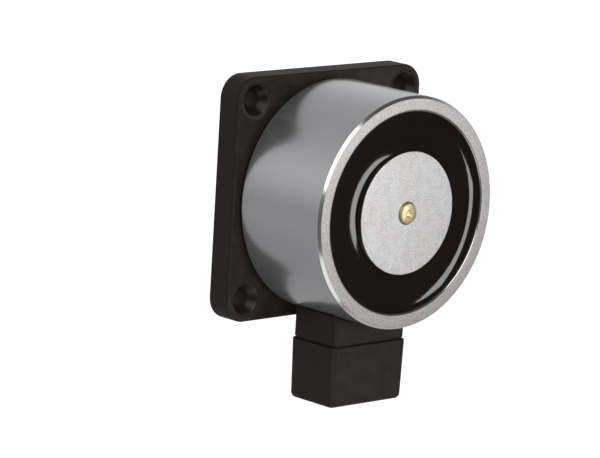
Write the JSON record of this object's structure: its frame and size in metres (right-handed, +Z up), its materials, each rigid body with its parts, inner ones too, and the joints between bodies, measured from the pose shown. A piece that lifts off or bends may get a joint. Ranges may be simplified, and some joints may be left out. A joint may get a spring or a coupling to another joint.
{
  "type": "electromagnetic door holder",
  "caption": "Round electromagnet on a square wall plate that holds a door open, with a sprung push-off pin in its pole face and a wiring box below.",
  "frame": {"origin": "middle of the four wall screw holes, on the wall plane", "axes": "+Z up, -Y out of the wall towards the door, +X to the right seen from the front"},
  "size_m": [0.074, 0.0448, 0.0985],
  "materials": {
    "black_plastic": "matt moulded",
    "plated_steel": "nickel plated, ground pole faces",
    "potting": "poured, glossy",
    "brass": "turned and polished",
    "zinc_steel": "zinc plated",
    "spring_steel": "drawn wire",
    "copper_wire": "enamelled copper wire",
    "bobbin_plastic": "moulded",
    "tape": "film tape",
    "rubber": "matt",
    "lead_jacket": "extruded",
    "block_plastic": "moulded"
  },
  "bodies": {
    "holder": {"base_plate": "black_plastic", "pot_screws": "zinc_steel", "pot_washers": "zinc_steel", "magnet_pot": "plated_steel", "coil_bobbin": "bobbin_plastic", "coil_winding": "copper_wire", "winding_tape": "tape", "potting_resin": "potting", "spring_plug": "zinc_steel", "push_off_spring": "spring_steel", "lead_bush": "rubber", "coil_lead_left": "lead_jacket", "coil_lead_right": "lead_jacket", "saddle_gasket": "rubber", "connector_base": "black_plastic", "base_screws": "zinc_steel", "terminal_block": "block_plastic", "terminal_clamp_left": "brass", "terminal_clamp_right": "brass", "terminal_screws": "zinc_steel", "block_screw": "zinc_steel", "cap_seal": "rubber", "terminal_cap": "black_plastic", "cap_screws": "zinc_steel", "cable_grommet": "rubber"},
    "pin": {"push_off_pin": "brass"}
  },
  "joints": [
    {"name": "push_off", "type": "slide", "parent": "holder", "child": "pin", "axis": [0, 1, 0], "range_m": [0, 0.0011], "stiffness_N_per_m": 2000, "springref_m": -0.004, "deforming": ["push_off_spring"]}
  ]
}
